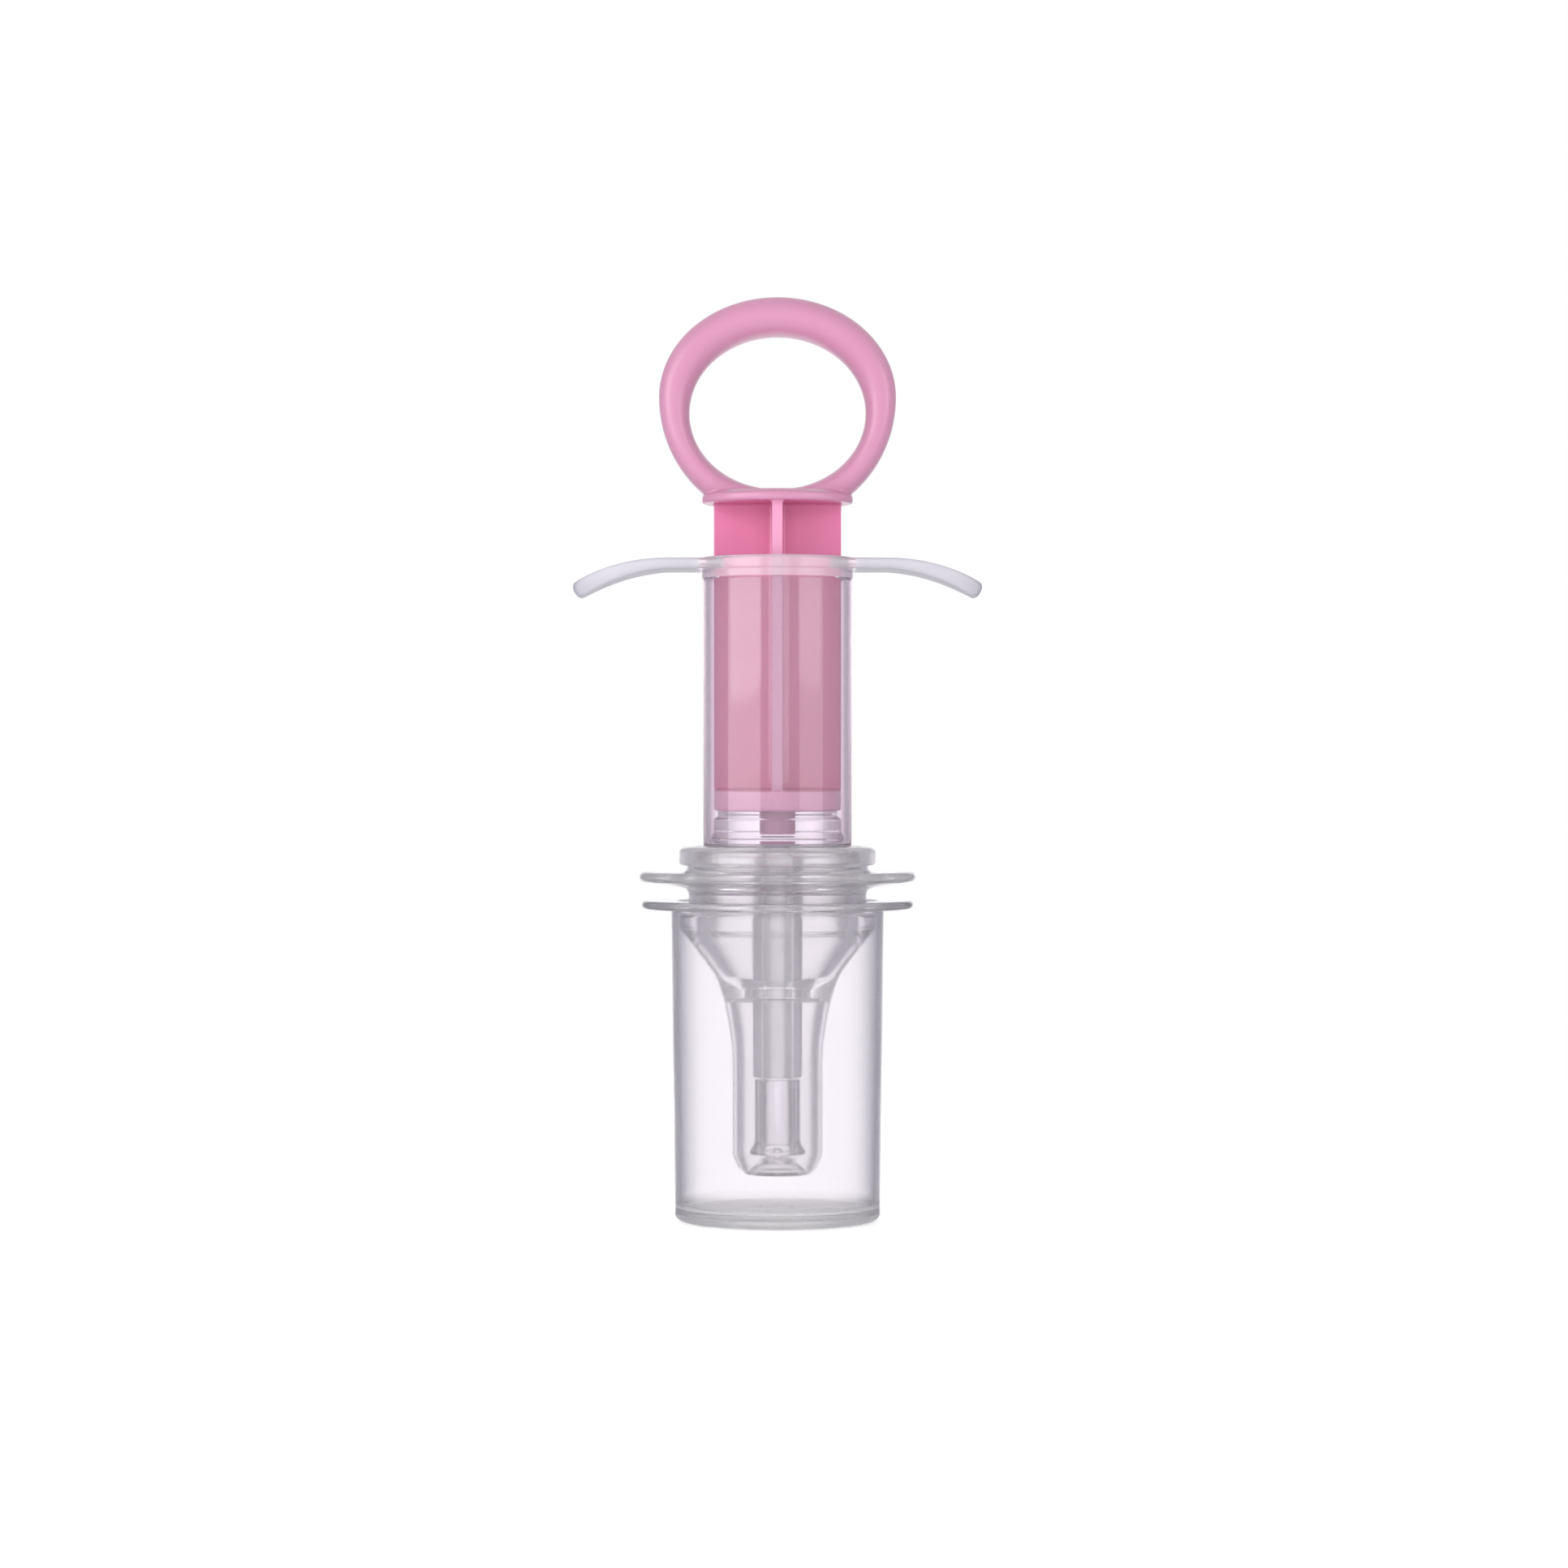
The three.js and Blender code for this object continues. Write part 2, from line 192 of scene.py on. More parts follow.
class Recipe:
    """A new node material with one Principled shader, and shorthands for adding to it."""

    def __init__(self, name, **constants):
        self.material = bpy.data.materials.new(name)
        self.material.use_nodes = True
        self.tree = self.material.node_tree
        self.shader = self.tree.nodes["Principled BSDF"]
        self.output = self.tree.nodes["Material Output"]
        for socket, value in constants.items():
            self.shader.inputs[socket.replace("_", " ")].default_value = value
        self.place = self.add("ShaderNodeTexCoord").outputs["Object"]

    def add(self, kind):
        return self.tree.nodes.new(kind)

    def link(self, source, target):
        self.tree.links.new(source, target)

    def noise(self, scale, detail=3.0, stretch=(1, 1, 1)):
        """Noise with a scale per metre, stretched along the object's axes."""
        mapping = self.add("ShaderNodeMapping")
        mapping.inputs["Scale"].default_value = stretch
        self.link(self.place, mapping.inputs["Vector"])
        noise = self.add("ShaderNodeTexNoise")
        noise.inputs["Scale"].default_value = scale
        noise.inputs["Detail"].default_value = detail
        self.link(mapping.outputs["Vector"], noise.inputs["Vector"])
        return noise.outputs["Fac"]

    def between(self, value, low, high):
        """value, from about 0.3 to 0.7 as noise gives it, spread over low to high."""
        spread = self.add("ShaderNodeMapRange")
        spread.inputs["From Min"].default_value = 0.3
        spread.inputs["From Max"].default_value = 0.7
        spread.inputs["To Min"].default_value = low
        spread.inputs["To Max"].default_value = high
        self.link(value, spread.inputs["Value"])
        return spread.outputs["Result"]

    def tint(self, value, low, high):
        """A colour from low to high as value goes from about 0.3 to 0.7."""
        ramp = self.add("ShaderNodeValToRGB")
        ramp.color_ramp.elements[0].position = 0.3
        ramp.color_ramp.elements[0].color = low
        ramp.color_ramp.elements[1].position = 0.7
        ramp.color_ramp.elements[1].color = high
        self.link(value, ramp.inputs["Fac"])
        return ramp.outputs["Color"]

    def painted_edge_shade(self, facing, grazing, start=0.40, full=0.80):
        """Base colour that deepens where the surface turns away: painted shade for the dark edges of
        clear walls, on top of light crossing more of the wall.
        """
        weight = self.add("ShaderNodeLayerWeight")
        weight.inputs["Blend"].default_value = 0.5
        ramp = self.add("ShaderNodeValToRGB")
        ramp.color_ramp.elements[0].position = start
        ramp.color_ramp.elements[0].color = facing
        ramp.color_ramp.elements[1].position = full
        ramp.color_ramp.elements[1].color = grazing
        self.link(weight.outputs["Facing"], ramp.inputs["Fac"])
        self.link(ramp.outputs["Color"], self.shader.inputs["Base Color"])

    def bump(self, value, depth, previous=None):
        """Relief of that depth in metres, on top of an earlier bump."""
        bump = self.add("ShaderNodeBump")
        bump.inputs["Strength"].default_value = 1.0
        bump.inputs["Distance"].default_value = depth
        self.link(value, bump.inputs["Height"])
        if previous is not None:
            self.link(previous, bump.inputs["Normal"])
        return bump.outputs["Normal"]


def linear(red, green, blue):
    """A colour given as 0 to 255 display values, as linear RGBA."""
    parts = [c / 255 for c in (red, green, blue)]
    return (*[c / 12.92 if c <= 0.04045 else ((c + 0.055) / 1.055) ** 2.4 for c in parts], 1.0)


def pink_plastic(name, low, high, satin):
    """Moulded pink plastic with faint colour drift and a fine moulded surface."""
    recipe = Recipe(name, IOR=PLASTIC_BEND, Coat_Weight=0.7, Coat_Roughness=0.30)
    drift = recipe.noise(70, stretch=(1, 1, 0.4))
    recipe.link(recipe.tint(drift, low, high), recipe.shader.inputs["Base Color"])
    fine = recipe.noise(900, detail=4)
    recipe.link(recipe.between(fine, satin - 0.06, satin + 0.06), recipe.shader.inputs["Roughness"])
    flow = recipe.bump(recipe.noise(160, stretch=(1, 1, 0.25)), 0.00002)
    grain = recipe.bump(recipe.noise(4500, detail=2), 0.000003, flow)
    recipe.link(grain, recipe.shader.inputs["Normal"])
    return recipe.material


def clear_plastic(name, clear, gloss, haze, facing, grazing, start=0.40):
    """Clear moulded plastic, slightly milky, with flow marks along the moulding.

    clear is the share of light that passes each face instead of scattering there. The tint goes from
    facing to grazing, beginning at start; the deeper grazing colour is painted shade.
    """
    recipe = Recipe(name, IOR=PLASTIC_BEND, Transmission_Weight=clear)
    recipe.painted_edge_shade(facing, grazing, start)
    smear = recipe.noise(260, stretch=(1, 1, 0.3))
    recipe.link(recipe.between(smear, gloss, haze), recipe.shader.inputs["Roughness"])
    flow = recipe.bump(recipe.noise(110, stretch=(1, 1, 0.25)), 0.000004)
    recipe.link(flow, recipe.shader.inputs["Normal"])
    return recipe.material


def silicone(name, bend, facing, grazing, start=0.40, full=0.80):
    """Clear silicone: softer gloss, a milky haze and a slightly uneven surface."""
    recipe = Recipe(name, IOR=bend, Transmission_Weight=0.95)
    # The base colour darkens towards grazing angles: painted shade at the edges.
    recipe.painted_edge_shade(facing, grazing, start, full)
    haze = recipe.noise(420, detail=4)
    recipe.link(recipe.between(haze, 0.05, 0.13), recipe.shader.inputs["Roughness"])
    soft = recipe.bump(recipe.noise(140), 0.00003)
    recipe.link(soft, recipe.shader.inputs["Normal"])
    return recipe.material


ROD_PINK = pink_plastic("rod_pink", linear(218, 112, 160), linear(223, 119, 166), 0.34)
# The ring and thumb disc get a darker, greyer copy of the rod's pink: painted shade that offsets the
# stronger light they catch.
RING_PINK_PAINTED_SHADE = pink_plastic("ring_pink_painted_shade", linear(189, 125, 158), linear(195, 132, 164), 0.46)
# The base disc and stud get a paler copy of the pink: painted light, for the pale haze over them.
BASE_PINK_PAINTED_LIGHT = pink_plastic("base_pink_painted_light", linear(240, 168, 203), linear(243, 174, 208), 0.34)
# The rib edges get a paler copy of the pink: a painted highlight along them.
RIB_EDGE_PAINTED_HIGHLIGHT = pink_plastic("rib_edge_painted_highlight", linear(214, 140, 176), linear(218, 146, 182), 0.34)
# The barrel's pink at grazing angles is painted: painted pink light from the plunger inside, seen along
# the sides, and painted shade darkening those edges.
BARREL_CLEAR = clear_plastic(
    "barrel_plastic", 0.95, 0.02, 0.06, (0.985, 0.955, 1.0, 1), (0.95, 0.63, 0.80, 1)
)
# The frosted mouth band's pink is painted light from the pink plunger behind it; its frost is the
# rougher surface.
MOUTH_FROST = clear_plastic(
    "mouth_frost", 0.70, 0.14, 0.20, (0.95, 0.85, 0.92, 1), (0.88, 0.79, 0.87, 1)
)
NOZZLE_CLEAR = clear_plastic(
    "nozzle_plastic", 0.84, 0.10, 0.18, (0.97, 0.96, 0.985, 1), (0.84, 0.83, 0.88, 1)
)
# The wings' grey is painted shade on a darker copy of the barrel plastic; their frost is the rougher
# surface.
WING_FROST_PAINTED_SHADE = clear_plastic(
    "wing_frost_painted_shade", 0.46, 0.34, 0.44, (0.71, 0.69, 0.75, 1), (0.47, 0.46, 0.53, 1)
)
# The cap's dark grey towards grazing angles is painted shade for its dark side walls.
CAP_CLEAR = clear_plastic(
    "cap_plastic", 0.94, 0.04, 0.12, (0.985, 0.965, 0.99, 1), (0.46, 0.45, 0.50, 1), 0.36
)
CAP_FROST = clear_plastic(
    "cap_frost", 0.93, 0.46, 0.50, (1.0, 0.985, 1.0, 1), (0.98, 0.97, 0.99, 1)
)
GUARD_CLEAR = clear_plastic(
    "guard_plastic", 0.94, 0.08, 0.18, (1.0, 0.98, 1.0, 1), (0.90, 0.88, 0.93, 1)
)
TEAT_SILICONE = silicone("teat_silicone", 1.27, (0.985, 0.975, 0.985, 1), (0.84, 0.82, 0.87, 1))
# The flange's near-black at grazing angles is painted shade, on a shaded copy of the teat silicone.
FLANGE_SILICONE_PAINTED_SHADE = silicone(
    "flange_silicone_painted_shade", 1.27, (0.985, 0.97, 0.985, 1), (0.14, 0.08, 0.11, 1), 0.55, 0.70
)
# The tube's dark grey at grazing angles is painted shade for its dark edges.
TUBE_SILICONE = silicone(
    "tube_silicone", 1.45, (0.99, 0.975, 0.99, 1), (0.30, 0.28, 0.34, 1), 0.18, 0.55
)
SEAL_SILICONE = silicone("seal_silicone", 1.30, (1.0, 0.91, 0.965, 1), (0.97, 0.85, 0.92, 1))


def finish_piece(piece, node, body, slot, *materials):
    """Dresses a piece and lets it stand for its CAD node."""
    piece.data.materials.clear()
    for material in materials:
        piece.data.materials.append(material)
    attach(piece, body)
    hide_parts(node)


# ---------------------------------------------------------------- turned pieces


def make_dust_cap():
    """A cup with a rim flange, a raised patch inside its floor and a shallow recess underneath."""
    wall, floor = 0.95, 2.0
    patch, patch_rise = 2.8, 0.4
    rim, height = CAP_HIGH.x, CAP_HIGH.z
    rim_thick = 1.3
    base, top = 15.8, 16.4
    foot, recess = 12.6, 0.35
    frost_top = floor + 1.2  # the floor and the corner round it are frosted
    piece = turned(
        "dust_cap_clear",
        [
            (0, recess, 0),
            (foot, recess, 0.3),
            (foot + 0.5, 0, 0.3),
            (base, 0, 1.6),
            (top, height - rim_thick, 0.5),
            (rim, height - rim_thick, 0.62),
            (rim, height, 0.62),
            (top - wall, height, 0.45),
            (base - wall, floor, 1.3),
            (patch, floor, 0.25),
            (patch - patch_rise, floor + patch_rise, 0.2),
            (0, floor + patch_rise, 0),
        ],
    )
    finish_piece(piece, "dust_cap", "cap", "clear_plastic", CAP_CLEAR, CAP_FROST)
    for face in piece.data.polygons:
        face.material_index = int(face.center.z < frost_top * MM)


def make_collar():
    """The ring that holds the teat: a neck, the mouth guard, a waist and a bead, from the bottom up."""
    bottom, top, guard = COLLAR_LOW.z, COLLAR_HIGH.z, COLLAR_HIGH.x
    bore, shelf, neck = 12.9, 12.2, 13.75
    shelf_top = 50.3
    root_low, root_high = (15.6, 51.4), (15.4, 53.3)
    guard_bottom, guard_top = 52.15, 53.65
    waist, waist_bottom = 14.0, 53.9
    bead, bead_height = 15.15, 2.9
    piece = turned(
        "teat_collar_clear",
        [
            (shelf, bottom, 0.2),
            (neck, bottom, 0.4),
            (neck, 50.9, 1.0),
            (*root_low, 1.2),
            (guard, guard_bottom, 0.72),
            (guard, guard_top, 0.72),
            (*root_high, 1.0),
            (waist, waist_bottom, 0.5),
            (waist, top - bead_height + 0.1, 0.4),
            (bead, top - bead_height, 1.3),
            (bead, top, 1.4),
            (bore, top, 0.3),
            (bore, shelf_top, 0.2),
            (shelf, shelf_top, 0.2),
        ],
    )
    finish_piece(piece, "teat_collar", "teat_unit", "guard_plastic", GUARD_CLEAR)


def make_teat():
    """The teat: a dimpled tip, a slim body that flares to the shoulder, and a flange on top."""
    outlet, tip, dimple = 0.6, TEAT_LOW.z, 9.4
    teat, wall = 6.9, 1.3
    shoulder, shoulder_z = TEAT_HIGH.x, 44.9
    top = TEAT_HIGH.z
    groove, groove_low, groove_high = 11.9, 47.2, 50.6
    flange, throat = 12.6, 10.6
    web, web_low, web_high = 4.2, 34.6, 36.0
    inner = teat - wall
    piece = turned(
        "teat_silicone",
        [
            (outlet, dimple, 0.15),
            (2.6, dimple - 0.5, 3),
            (4.2, tip, 0.9),
            (4.9, tip, 0.9),
            (5.9, 7.9, 1.5),
            (teat, 9.9, 2.4),
            (teat, 27.0, 40),
            (8.1, 33.4, 18),
            (9.3, 37.4, 10),
            (shoulder, shoulder_z, 0.8),
            (shoulder, groove_low, 0.6),
            (groove, groove_low, 0.3),
            (groove, groove_high, 0.3),
            (flange, groove_high, 0.3),
            (flange, top, 0.3),
            (throat, top, 0.4),
            (throat, 44.2, 3),
            (6.6, 37.8, 4),
            (web, web_high, 0.5),
            (web, web_low, 0.3),
            (inner + 1.0, web_low, 0.8),
            (inner, 27.5, 30),
            (inner, 10.1, 1.2),
            (4.7, 8.0, 0.8),
            (4.2, 8.0, 0.5),
            (2.6, dimple + 0.1, 3),
            (outlet, dimple + 0.7, 0.15),
        ],
    )
    finish_piece(piece, "teat", "teat_unit", "clear_silicone", TEAT_SILICONE, FLANGE_SILICONE_PAINTED_SHADE)
    # Faces on the flange get the copy with painted shade at its edges.
    for face in piece.data.polygons:
        spot = face.center / MM
        painted_shade_on_flange = spot.z > groove_high - 0.1 and math.hypot(spot.x, spot.y) > groove
        face.material_index = int(painted_shade_on_flange)


def make_feed_tube():
    """A short straight tube on a flared foot."""
    low, high = TUBE_LOW.z, TUBE_HIGH.z
    foot, outer, bore = TUBE_HIGH.x, 3.45, 2.2
    piece = turned(
        "feed_tube_silicone",
        [
            (bore, low, 0.15),
            (foot, low, 0.25),
            (foot, low + 0.5, 0.3),
            (outer, low + 1.8, 1.5),
            (outer, high, 0.25),
            (bore, high, 0.2),
        ],
    )
    finish_piece(piece, "feed_tube", "teat_unit", "clear_silicone", TUBE_SILICONE)


def make_seal():
    """A plug with one wiping lip, a narrower shoulder, and a socket for the plunger's stud."""
    low, high, lip = SEAL_LOW.z, SEAL_LOW.z + 3.8, SEAL_HIGH.x
    waist, shoulder, shoulder_top = 9.85, 9.2, BASE_DISC_Z + 0.05
    socket, socket_z = STUD - 0.08, PLUNGER_LOW.z + 0.1
    piece = turned(
        "piston_seal_silicone",
        [
            (0, low, 0),
            (waist, low, 0.3),
            (lip, low + 0.5, 0.3),
            (lip, low + 1.0, 0.3),
            (waist, low + 1.4, 0.5),
            (waist, high - 0.2, 0.5),
            (shoulder, high + 0.2, 0.3),
            (shoulder, shoulder_top, 0.05),
            (socket, shoulder_top, 0.05),
            (socket, socket_z, 0.2),
            (0, socket_z, 0),
        ],
    )
    finish_piece(piece, "piston_seal", "plunger", "clear_silicone", SEAL_SILICONE)


# ---------------------------------------------------------------- barrel with its wings

RIM = 11.65  # radius of the mouth's rim
RIM_LIP = 0.3  # the mouth stands this far above the wings
WING_TOP = BARREL_HIGH.z - RIM_LIP
WING_THICK = 1.6
WING_TIP_THICK = 2.6
WING_FLAT = 17.0  # the wings are flat out to here and curve down beyond
WING_BEND = 30.0  # radius of that curve on their upper face
WING_TIP_LOSS = 0.35  # what the rounded edge takes off the wings' reach
WING_CHORD = BARREL_HIGH.x + WING_TIP_LOSS - WING_FLAT
WING_REACH = WING_FLAT + WING_BEND * math.asin(WING_CHORD / WING_BEND)
WING_HALF_DEPTH = 7.5
FILLET, WING_ROUND = 0.3, 0.8  # widths of the fillet at the rim and of the wings' rounded edge
STRETCH_FROM, STRETCH_TO = RIM + FILLET, RIM + 0.8  # this part of the outline is drawn out
OUTLINE_EDGE = STRETCH_TO + WING_ROUND
FROST_DEPTH = 3.2  # the frosted band round the mouth
WING_ROOT = 12.0  # the wings are frosted beyond this
NOZZLE_TOP = 57.0  # below this the barrel is skirt and nozzle
SLACK = 0.01  # for comparing heights and radii


def wing_edge(angle):
    """How far the outside lies from the axis: the wings' blunt oval, joined to the round rim.

    A higher blunt makes squarer wing tips, and a higher join a tighter corner at the rim.
    """
    blunt = 2.7
    oval = (
        np.abs(np.cos(angle) / WING_REACH) ** blunt
        + np.abs(np.sin(angle) / WING_HALF_DEPTH) ** blunt
    ) ** (-1 / blunt)
    join = 9
    return (oval**join + RIM**join) ** (1 / join)


def wing_angles(count):
    """Angles that are spread half by the turn and half by the length of the plate's edge."""
    fine = np.linspace(0, 2 * math.pi, 7201)
    edge = wing_edge(fine)
    x, y = edge * np.cos(fine), edge * np.sin(fine)
    length = np.concatenate([[0], np.cumsum(np.hypot(np.diff(x), np.diff(y)))])
    progress = (length / length[-1] + fine / fine[-1]) / 2
    return np.interp(np.arange(count) / count, progress, fine)


def bend_wings(points):
    """Curves the wings down round an arc beyond their flat part, and thickens them to the tips."""
    bent = points.copy()
    over = np.abs(points[..., 0]) - WING_FLAT
    far = over > 0
    turn = over[far] / WING_BEND
    growth = (WING_TIP_THICK / WING_THICK - 1) / (WING_REACH - WING_FLAT)
    depth = (WING_TOP - points[..., 2][far]) * (1 + growth * over[far])
    radius = WING_BEND - depth
    bent[..., 0][far] = np.sign(points[..., 0][far]) * (WING_FLAT + radius * np.sin(turn))
    bent[..., 2][far] = WING_TOP - WING_BEND + radius * np.cos(turn)
    return bent


def barrel_outline():
    """The barrel's outline from the nozzle's tip up the outside, over the mouth and down the bore."""
    tip, mouth = BARREL_LOW.z, BARREL_HIGH.z
    nozzle, nozzle_bore = 3.9, 1.6
    bore, tube = 10.45, 11.45
    chamber, floor_under = 57.5, 56.2
    skirt, skirt_inside, skirt_bottom = 12.6, 11.2, 52.5
    wing_under = WING_TOP - WING_THICK
    rim_bottom = mouth - 3.4
    corners = [
        (nozzle_bore, tip, 0.2),
        (nozzle - 0.15, tip, 0.35),
        (nozzle, floor_under, 0.9),
        (skirt_inside, floor_under, 0.5),
        (skirt_inside, skirt_bottom, 0.3),
        (skirt, skirt_bottom, 0.3),
        (skirt, chamber - 0.1, 0.4),
        (tube, chamber, 0.3),
        (tube, rim_bottom, 0.3),
        (RIM, rim_bottom + 0.3, 0.3),
        (RIM, wing_under, 0.25),
        (OUTLINE_EDGE, wing_under, 0.75),
        (OUTLINE_EDGE, WING_TOP, 0.75),
        (RIM, WING_TOP, 0.14),
        (RIM, mouth, 0.14),
        (bore + 0.2, mouth, 0.3),
        (bore, mouth - 0.5, 0.3),
        (bore, chamber, 0.5),
        (nozzle_bore, chamber, 0.4),
    ]
    outline, _ = rounded(corners, True)
    return split_stretch(outline)


def split_stretch(outline):
    """Adds points where the outline is drawn out into the wings, so that they can curve."""
    steps = 16
    points = []
    for here, after in zip(outline, np.roll(outline, -1, 0)):
        points.append(here)
        low, high = sorted((here[0], after[0]))
        if low <= STRETCH_FROM + SLACK and high >= STRETCH_TO - SLACK and on_wing(here[1]):
            for k in range(1, steps):
                points.append(here + (after - here) * k / steps)
    return np.array(points)


def on_wing(height):
    """Whether a height in the outline belongs to the wings."""
    return WING_TOP - WING_THICK - SLACK < height < WING_TOP + SLACK


def part_way(radius, low, high):
    """How far a radius is from low to high, from 0 to 1."""
    return min(max((radius - low) / (high - low), 0), 1)


def make_barrel():
    """A turned tube whose rim is drawn out sideways into the two finger wings."""
    outline = barrel_outline()
    angles = wing_angles(360)
    beyond = wing_edge(angles) - RIM
    ends = np.minimum(beyond, FILLET + WING_ROUND) / (FILLET + WING_ROUND)
    drawn = np.maximum(beyond - FILLET - WING_ROUND, 0)
    grid = np.empty((len(outline), len(angles), 3))
    for i, (radius, height) in enumerate(outline):
        reach = np.full(len(angles), radius)
        if radius > RIM and on_wing(height):
            reach = RIM + ends * FILLET * part_way(radius, RIM, STRETCH_FROM)
            reach += drawn * part_way(radius, STRETCH_FROM, STRETCH_TO)
            reach += ends * WING_ROUND * part_way(radius, STRETCH_TO, OUTLINE_EDGE)
        grid[i, :, 0] = reach * np.cos(angles)
        grid[i, :, 1] = reach * np.sin(angles)
        grid[i, :, 2] = height
    grid = bend_wings(grid)
    piece = new_piece("barrel_clear", grid.reshape(-1, 3), skin(list(grid), True))
    finish_piece(piece, "barrel", "barrel", "clear_plastic", BARREL_CLEAR, MOUTH_FROST, WING_FROST_PAINTED_SHADE,
                 NOZZLE_CLEAR)
    for face in piece.data.polygons:
        spot = face.center / MM
        # Wings beyond the root get the frosted copy greyed with painted shade.
        if abs(spot.x) > WING_ROOT and spot.z > NOZZLE_TOP:
            face.material_index = 2
        elif spot.z > BARREL_HIGH.z - FROST_DEPTH:
            face.material_index = 1
        elif spot.z < NOZZLE_TOP:
            face.material_index = 3


# ---------------------------------------------------------------- plunger

RING_CENTRE_Z, RING_RISE, RING_DROP = 126.6, 15.4, 19.1
OPENING_CENTRE_Z, OPENING_WIDE, OPENING_HIGH = 124.15, 13.55, 11.75
RING_DEPTH = 8.8
DISC_Z, DISC_THICK, DISC_RADIUS = 110.2, 1.8, 11.6
ROD_RADIUS, RIB_THICK = 9.8, 1.6
RIB_FOOT = 5.0  # the ribs start this far above the stud's end, inside the base disc


def ring_mesh():
    """The ring handle: a rounded section carried round between the outside and the opening."""
    around, section = 220, 40
    roundness = 0.82  # below 1 the section is fuller than an ellipse
    half_wide = PLUNGER_HIGH.x
    rows = []
    for i in range(around):
        angle = 2 * math.pi * i / around
        c, s = math.cos(angle), math.sin(angle)
        outer = Vector((half_wide * c, RING_CENTRE_Z + (RING_RISE if s > 0 else RING_DROP) * s))
        outer.y = max(outer.y, DISC_Z + DISC_THICK / 2)
        inner = Vector((OPENING_WIDE * c, OPENING_CENTRE_Z + OPENING_HIGH * s))
        middle, arm = (outer + inner) / 2, (outer - inner) / 2
        row = []
        for k in range(section):
            turn = 2 * math.pi * k / section
            u, v = math.cos(turn), math.sin(turn)
            out = math.copysign(abs(u) ** roundness, u)
            deep = math.copysign(abs(v) ** roundness, v)
            spot = middle + arm * out
            row.append((spot.x, -deep * RING_DEPTH / 2, spot.y))
        rows.append(np.array(row))
    return np.concatenate(rows), skin(rows, True)


def turned_mesh(corners):
    """Points and faces of a small turned solid, for joining with others."""
    outline, _ = rounded(corners, False)
    count = 128
    angles = np.arange(count) * 2 * math.pi / count
    rows = []
    for radius, height in outline:
        if radius < CENTRE_LINE:
            rows.append(np.array([[0, 0, height]]))
        else:
            flat = np.stack([radius * np.cos(angles), radius * np.sin(angles)], 1)
            rows.append(np.column_stack([flat, np.full(count, height)]))
    return np.concatenate(rows), skin(rows, False)


def rib_mesh(along_x):
    """One of the rod's two crossed plates."""
    wide, thick = (ROD_RADIUS, RIB_THICK / 2) if along_x else (RIB_THICK / 2, ROD_RADIUS)
    low, high = PLUNGER_LOW.z + RIB_FOOT, DISC_Z + DISC_THICK / 2
    corners = ((-wide, -thick), (wide, -thick), (wide, thick), (-wide, thick))
    points = [(x, y, z) for z in (low, high) for x, y in corners]
    faces = [(3, 2, 1, 0), (4, 5, 6, 7)]
    for i in range(4):
        after = (i + 1) % 4
        faces.append((i, after, after + 4, i + 4))
    return np.array(points, float), faces


def apply_modifiers(piece):
    """Keeps what the modifiers make as the piece's own mesh."""
    graph = bpy.context.evaluated_depsgraph_get()
    shaped = bpy.data.meshes.new_from_object(piece.evaluated_get(graph))
    piece.modifiers.clear()
    piece.data = shaped


def make_plunger():
    """Ring handle, thumb disc, ribs, base disc and stud, fused into one moulding with soft corners."""
    base, base_top = BASE_DISC_Z, 66.0
    disc_top, stud_top = DISC_Z + DISC_THICK, base + 1
    thumb_disc = [
        (0, DISC_Z, 0),
        (DISC_RADIUS, DISC_Z, 0.3),
        (DISC_RADIUS, DISC_Z + 1.2, 0.4),
        (DISC_RADIUS - 1.6, disc_top, 0.8),
        (0, disc_top, 0),
    ]
    base_disc = [(0, base, 0), (ROD_RADIUS, base, 0.3), (ROD_RADIUS, base_top, 0.3), (0, base_top, 0)]
    stud = [(0, PLUNGER_LOW.z, 0), (STUD, PLUNGER_LOW.z, 0.3), (STUD, stud_top, 0.2), (0, stud_top, 0)]
    parts = [
        ring_mesh(),
        turned_mesh(thumb_disc),
        rib_mesh(True),
        rib_mesh(False),
        turned_mesh(base_disc),
        turned_mesh(stud),
    ]
    points, faces, offset = [], [], 0
    for part_points, part_faces in parts:
        points.append(part_points)
        faces += [tuple(i + offset for i in face) for face in part_faces]
        offset += len(part_points)
    piece = new_piece("plunger_pink", np.concatenate(points), faces)
    fuse = piece.modifiers.new("fuse", "REMESH")
    fuse.mode = "VOXEL"
    fuse.voxel_size = 0.2 * MM
    fuse.use_smooth_shade = True
    soften = piece.modifiers.new("soften", "SMOOTH")
    soften.factor = 0.5
    soften.iterations = 5
    apply_modifiers(piece)
    piece.data.shade_smooth()
    finish_piece(piece, "plunger", "plunger", "pink_plastic", ROD_PINK, RING_PINK_PAINTED_SHADE, RIB_EDGE_PAINTED_HIGHLIGHT,
                 BASE_PINK_PAINTED_LIGHT)
    for face in piece.data.polygons:
        spot = face.center / MM
        # Outer faces of the ribs above the base disc take the painted highlight.
        highlight_edge = math.hypot(spot.x, spot.y) > ROD_RADIUS - 0.15
        # Ring and thumb disc: the copy with painted shade.
        if spot.z > DISC_Z + 0.02:
            face.material_index = 1
        elif highlight_edge and spot.z > base_top:
            face.material_index = 2
        # Base disc and stud: the paler copy with painted light.
        elif spot.z < base_top - 0.05:
            face.material_index = 3


# ---------------------------------------------------------------- studio


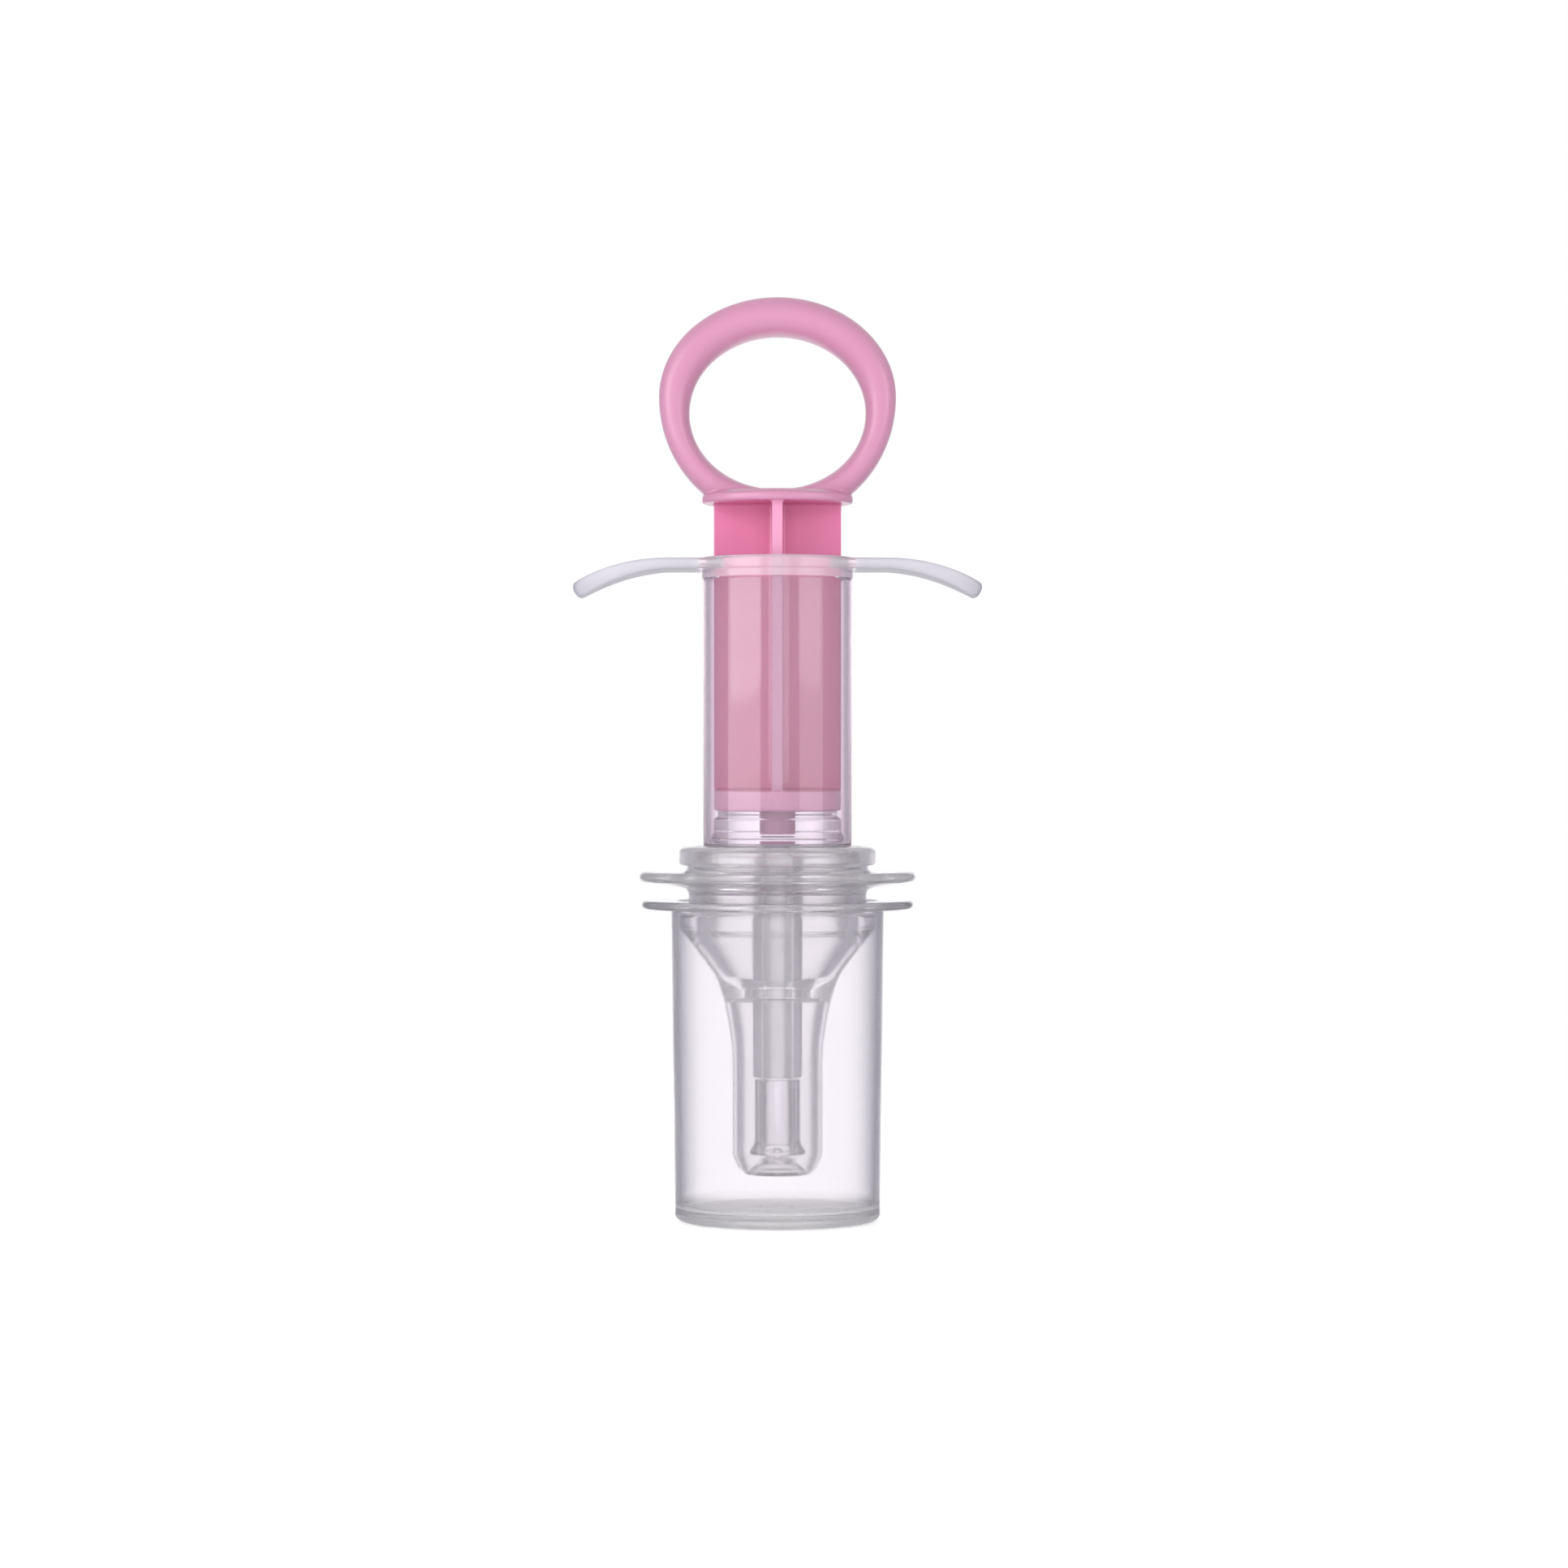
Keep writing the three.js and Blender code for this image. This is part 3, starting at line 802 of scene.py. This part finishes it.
def make_floor():
    """A small round table, pale and lit from within like a light table."""
    mesh = bpy.data.meshes.new("floor")
    radius, below, steps = 0.36, 0.0002, 96
    turns = [2 * math.pi * i / steps for i in range(steps)]
    rim = [(radius * math.cos(a), radius * math.sin(a), -below) for a in turns]
    mesh.from_pydata(rim, [], [tuple(range(steps))])
    floor = bpy.data.objects.new("floor", mesh)
    bpy.context.scene.collection.objects.link(floor)
    recipe = Recipe("floor_paint", Roughness=0.9, Emission_Strength=0.42)
    recipe.shader.inputs["Emission Color"].default_value = (1, 1, 1, 1)
    shade = recipe.tint(recipe.noise(6), (0.90, 0.90, 0.905, 1), (0.93, 0.93, 0.935, 1))
    recipe.link(shade, recipe.shader.inputs["Base Color"])
    mesh.materials.append(recipe.material)
    floor.visible_transmission = False
    floor.visible_glossy = False


def make_world():
    """A light tent: a bright strip behind, dimmer overhead, in front and to either side.

    The eye sees it as plain white.
    """
    world = bpy.data.worlds.new("studio")
    bpy.context.scene.world = world
    world.use_nodes = True
    tree = world.node_tree
    background = tree.nodes["Background"]
    place = tree.nodes.new("ShaderNodeTexCoord")
    split = tree.nodes.new("ShaderNodeSeparateXYZ")
    tree.links.new(place.outputs["Generated"], split.inputs["Vector"])

    def spread(source, low, high):
        node = tree.nodes.new("ShaderNodeMapRange")
        node.interpolation_type = "SMOOTHSTEP"
        node.inputs["From Min"].default_value = low
        node.inputs["From Max"].default_value = high
        tree.links.new(source, node.inputs["Value"])
        return node.outputs["Result"]

    def blend(factor, below, above):
        node = tree.nodes.new("ShaderNodeMix")
        node.data_type = "RGBA"
        tree.links.new(factor, node.inputs["Factor"])
        for socket, value in (("A", below), ("B", above)):
            if isinstance(value, tuple):
                node.inputs[socket].default_value = value
            else:
                tree.links.new(value, node.inputs[socket])
        return node.outputs["Result"]

    across = tree.nodes.new("ShaderNodeMath")
    across.operation = "ABSOLUTE"
    tree.links.new(split.outputs["X"], across.inputs[0])
    side, front = (0.42, 0.41, 0.45, 1), (0.55, 0.55, 0.56, 1)
    back, top, plain = (1.16, 1.15, 1.17, 1), (0.75, 0.75, 0.75, 1), (1, 1, 1, 1)
    strip_edge = spread(across.outputs["Value"], 0.20, 0.44)
    front_to_back = spread(split.outputs["Y"], -0.2, 0.2)
    overhead = spread(split.outputs["Z"], 0.25, 0.55)
    behind = blend(strip_edge, back, side)
    around = blend(front_to_back, front, behind)
    tent = blend(overhead, around, top)
    eye = tree.nodes.new("ShaderNodeLightPath")
    seen = blend(eye.outputs["Is Camera Ray"], tent, plain)
    tree.links.new(seen, background.inputs["Color"])


def add_light(name, place, aim, width, height, power):
    """A soft box at place, facing aim."""
    data = bpy.data.lights.new(name, "AREA")
    data.shape = "RECTANGLE"
    data.size = width
    data.size_y = height
    data.energy = power
    light = bpy.data.objects.new(name, data)
    light.location = place
    light.rotation_euler = (Vector(aim) - Vector(place)).to_track_quat("-Z", "Y").to_euler()
    bpy.context.scene.collection.objects.link(light)
    return light


def make_lights(centre):
    """Tall soft boxes in front, strong on the left and weak on the right, and one by the camera."""
    raised = 0.19  # the side lights hang this far above the syringe's middle

    def spot(azimuth, distance, height):
        a = math.radians(azimuth)
        return centre + Vector((math.sin(a), -math.cos(a), 0)) * distance + Vector((0, 0, height))

    above = centre + Vector((0, 0, raised))
    add_light("key", spot(-54, 0.7, raised), above, 0.74, 0.48, 2.9)
    add_light("fill", spot(54, 0.8, raised), above, 0.58, 0.48, 1.6)
    front = add_light("front", spot(2, 0.8, 0.12), centre, 0.5, 0.5, 1.8)
    front.visible_glossy = False


def make_camera(low, high):
    """Level with the middle of the syringe, from the front."""
    distance = 0.65
    view = 1.7005 * (high.z - low.z)  # the frame's height at the object
    off_centre = Vector((1.0, 0, -3.9)) * MM
    aim = (low + high) / 2 + off_centre
    data = bpy.data.cameras.new("camera")
    data.sensor_width = 36
    data.lens = data.sensor_width * distance / view
    data.clip_start = 0.01
    camera = bpy.data.objects.new("camera", data)
    camera.location = aim - Vector((0, distance, 0))
    camera.rotation_euler = (math.pi / 2, 0, 0)
    bpy.context.scene.collection.objects.link(camera)
    bpy.context.scene.camera = camera


make_camera(CAD_LOW, CAD_HIGH)
make_dust_cap()
make_collar()
make_teat()
make_feed_tube()
make_seal()
make_barrel()
make_plunger()
make_floor()
make_world()
make_lights((CAD_LOW + CAD_HIGH) / 2)

scene = bpy.context.scene
scene.view_settings.view_transform = "Standard"
scene.cycles.max_bounces = 28
scene.cycles.transmission_bounces = 28
scene.cycles.glossy_bounces = 20
scene.cycles.diffuse_bounces = 8
scene.cycles.transparent_max_bounces = 16
